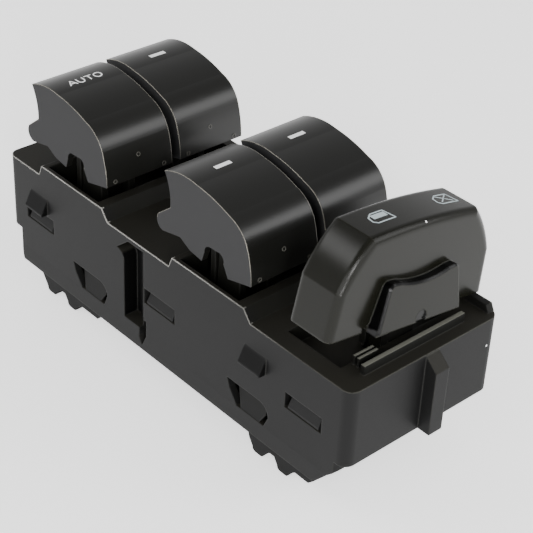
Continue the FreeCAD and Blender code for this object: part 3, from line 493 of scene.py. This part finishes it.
def arc(centre, radius, first, last, steps=10):
    """Points on a part of a circle, between two angles in degrees."""
    turns = [math.radians(first + (last - first) * i / steps) for i in range(steps + 1)]
    return [(centre[0] + radius * math.cos(t), centre[1] + radius * math.sin(t)) for t in turns]


LETTERS = {
    "A": [[(-0.95, -1.0), (0.0, 1.0), (0.95, -1.0)], [(-0.6, -0.35), (0.6, -0.35)]],
    "U": [[(-0.8, 1.0), (-0.8, -0.3)] + arc((0, -0.2), 0.8, 190, 350) + [(0.8, -0.3), (0.8, 1.0)]],
    "T": [[(-0.95, 0.9), (0.95, 0.9)], [(0.0, 0.9), (0.0, -1.0)]],
    "O": [arc((0, 0), 0.95, 0, 360, 20)],
}
LETTER_PITCH = 2.6
LETTER_SCALE = 1.12
LETTER_STROKE = 0.34


def word_strokes(word):
    """The strokes of a plain word, centred on its middle."""
    start = -(len(word) - 1) * LETTER_PITCH / 2
    return [(LETTER_STROKE, [(start + i * LETTER_PITCH + x * LETTER_SCALE, y * LETTER_SCALE)
                             for x, y in line])
            for i, letter in enumerate(word) for line in LETTERS[letter]]


BAR = [(1.25, [(-2.4, 0.0), (2.4, 0.0)])]
CROSS = [(0.3, [(-1.7, -1.2), (2.2, 1.7)]), (0.3, [(-1.7, 1.6), (2.0, -1.3)])]
PANE = [(-3.0, -1.0), (-2.8, 0.7), (-1.2, 1.85), (2.5, 1.85), (3.0, -1.85), (-2.2, -1.85),
        (-3.0, -1.0)]
WINDOW_MARK = [(0.36, PANE), (1.6, [(-1.9, 0.5), (2.2, 0.5)])]
LOCKED_MARK = [(0.36, PANE)] + CROSS
SPECK = [(0.5, [(-0.2, 0.0), (0.2, 0.0)])]
RING = [(0.2, arc((0, 0), 0.5, 0, 360, 12))]

# A rocker's mark stands behind its pivot; its three moulding rings sit on its front, as places
# across the rocker and over the rim
MARK_BEHIND = 9.5
ABOVE_ROCKERS = RIM + 27.0
ROCKER_FRONT = 13.5
MOULDING_MARKS = ((-7.6, 9.6), (0.0, 14.7), (7.6, 9.6))

for name, (x, y) in PLACES.items():
    node = "rocker_" + name
    top = (x - MARK_BEHIND, y, ABOVE_ROCKERS)
    if name == "front_left":
        printed("auto_word", node, top, word_strokes("AUTO"), white_ink)
    else:
        printed("bar_" + name, node, top, BAR, white_ink)
    for i, (across, rise) in enumerate(MOULDING_MARKS):
        printed("moulding_dot_%s_%d" % (name, i), node, (x + ROCKER_FRONT, y + across, RIM + rise),
                RING, dot_finish, MOULDING_RING)
for name, node, near, strokes, finish in (
        ("window_mark", "lock_rocker", (LOCK_X - 0.3, -5.5, RIM + 31.5), WINDOW_MARK, lock_ink),
        ("locked_window_mark", "lock_rocker", (LOCK_X - 0.3, 14.8, RIM + 28.2), LOCKED_MARK,
         lock_ink),
        ("lock_speck", "lock_rocker", SPECK_ON_LOCK, SPECK, white_ink),
        ("wall_speck", "housing", SPECK_ON_WALL, SPECK, white_ink)):
    printed(name, node, near, strokes, finish)


# Solder fillets round the terminals, where the board's top takes them

def tree_with_inputs(name, sizes):
    """A Geometry Nodes tree with a mesh input, and an input for each size."""
    tree = bpy.data.node_groups.new(name, "GeometryNodeTree")
    tree.interface.new_socket("Geometry", in_out="INPUT", socket_type="NodeSocketGeometry")
    for size, value in sizes.items():
        socket = tree.interface.new_socket(size, in_out="INPUT", socket_type="NodeSocketFloat")
        socket.default_value = value
    tree.interface.new_socket("Geometry", in_out="OUTPUT", socket_type="NodeSocketGeometry")
    return tree, add(tree, "NodeGroupInput"), add(tree, "NodeGroupOutput")


def settled(made, tree, values, finish, body):
    """Runs a Geometry Nodes tree on an object and keeps its result as a plain mesh."""
    modifier = made.modifiers.new("nodes", "NODES")
    modifier.node_group = tree
    for item in tree.interface.items_tree:
        if item.in_out == "INPUT" and item.name in values:
            modifier[item.identifier] = values[item.name]
    deps = bpy.context.evaluated_depsgraph_get()
    mesh = bpy.data.meshes.new_from_object(made.evaluated_get(deps))
    made.modifiers.clear()
    made.data = mesh
    if not mesh.materials:
        mesh.materials.append(finish)
    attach(made, body)


TERMINALS_PER_ROW = 7
TERMINAL_PITCH = 4.2
TERMINAL_ROW_Y = 2.25
FILLET = {"Foot": 1.0 * MM, "Top": 0.62 * MM, "Height": 0.6 * MM}
FILLET_SIDES = 16

terminals = bpy.data.meshes.new("solder_places")
middle = (TERMINALS_PER_ROW - 1) / 2
terminals.from_pydata([(SHROUD_X * MM + (i - middle) * TERMINAL_PITCH * MM,
                        side * TERMINAL_ROW_Y * MM, BOARD_TOP * MM)
                       for i in range(TERMINALS_PER_ROW) for side in (-1, 1)], [], [])
fillets = bpy.data.objects.new("solder_fillets", terminals)
bpy.context.scene.collection.objects.link(fillets)
tree, given, result = tree_with_inputs("solder_fillet_nodes", FILLET)
cone = add(tree, "GeometryNodeMeshCone", {"Vertices": FILLET_SIDES},
           Radius_Top=given.outputs["Top"], Radius_Bottom=given.outputs["Foot"],
           Depth=given.outputs["Height"])
spread = add(tree, "GeometryNodeInstanceOnPoints", Points=given.outputs["Geometry"],
             Instance=cone.outputs["Mesh"])
real = add(tree, "GeometryNodeRealizeInstances", Geometry=spread.outputs["Instances"])
painted = add(tree, "GeometryNodeSetMaterial", {"Material": solder},
              Geometry=real.outputs["Geometry"])
tree.links.new(painted.outputs["Geometry"], result.inputs["Geometry"])
settled(fillets, tree, FILLET, solder, "base")


# Floor, light and camera

# In metres
HALF_FLOOR = 3
BODY = (0, 0, 0.03)
LOCK = (0.05, 0, 0.05)
CROWNS = (0, 0, 0.04)

FLOOR_GLOW = 1.1


def panel_light(name, place, aim, size, power):
    """A soft box at a place in metres that looks at a point."""
    lamp = bpy.data.lights.new(name, "AREA")
    lamp.shape = "RECTANGLE"
    lamp.size, lamp.size_y = size
    lamp.energy = power
    holder = bpy.data.objects.new(name, lamp)
    bpy.context.scene.collection.objects.link(holder)
    way = Vector(aim) - Vector(place)
    holder.matrix_world = (Matrix.Translation(Vector(place))
                           @ way.to_track_quat("-Z", "Y").to_matrix().to_4x4())


floor_mesh = bpy.data.meshes.new("floor")
floor_mesh.from_pydata([(x * HALF_FLOOR, y * HALF_FLOOR, 0)
                        for x, y in ((-1, -1), (1, -1), (1, 1), (-1, 1))], [], [(0, 1, 2, 3)])
# White acrylic lit from below: it gives the low faces their even light
floor_paint, _, floor_shader = material("lit_white_acrylic", "#fafafa", 0.9)
floor_shader.inputs["Emission Color"].default_value = colour("#ffffff")
floor_shader.inputs["Emission Strength"].default_value = FLOOR_GLOW
floor = new_object("floor", floor_mesh, floor_paint)

# The studio: white near the horizon and dark overhead, so that tops stay dark
world = bpy.data.worlds.new("studio")
world.use_nodes = True
sky = world.node_tree
way = add(sky, "ShaderNodeSeparateXYZ", Vector=add(sky, "ShaderNodeTexCoord").outputs["Generated"])
band = add(sky, "ShaderNodeMapRange", {"From Min": 0.1, "From Max": 0.75, "To Min": 1.25,
                                       "To Max": 0.42}, Value=way.outputs["Z"])
sky.nodes["Background"].inputs["Color"].default_value = colour("#ffffff")
sky.links.new(band.outputs["Result"], sky.nodes["Background"].inputs["Strength"])
bpy.context.scene.world = world

# For the long wall and the end wall, the lock rocker's shoulder and crease, and the crowns
panel_light("key", (0.3, -0.95, 0.45), BODY, (0.8, 0.5), 4)
panel_light("side", (0.95, -0.05, 0.4), BODY, (0.6, 0.5), 2.2)
panel_light("shoulder_glow", (-0.55, -0.57, 0.66), LOCK, (0.5, 0.2), 1.9)
panel_light("crease_glint", (0.78, -0.54, 0.33), LOCK, (0.08, 0.4), 5.5)
panel_light("crown_band", (0.66, 0.567, 0.55), CROWNS, (0.7, 0.42), 3.9)

# The camera's place in millimetres, its three axes and its focal length in the photograph's pixels
PHOTO_WIDTH = 533
FOCAL_PIXELS = 1506.4
EYE = (231.85, -208.55, 238.8)
camera = bpy.data.cameras.new("camera")
camera.sensor_width = 36.0
camera.lens = FOCAL_PIXELS * camera.sensor_width / PHOTO_WIDTH
camera.clip_start = 0.01
view = bpy.data.objects.new("camera", camera)
bpy.context.scene.collection.objects.link(view)
right = Vector((0.6625, 0.7479, 0.0422))
up = Vector((-0.4431, 0.3458, 0.8271))
back = Vector((0.6040, -0.5666, 0.5605))
turn = Matrix((right, up, back)).transposed().to_4x4()
view.matrix_world = Matrix.Translation(Vector(EYE) * MM) @ turn
bpy.context.scene.camera = view
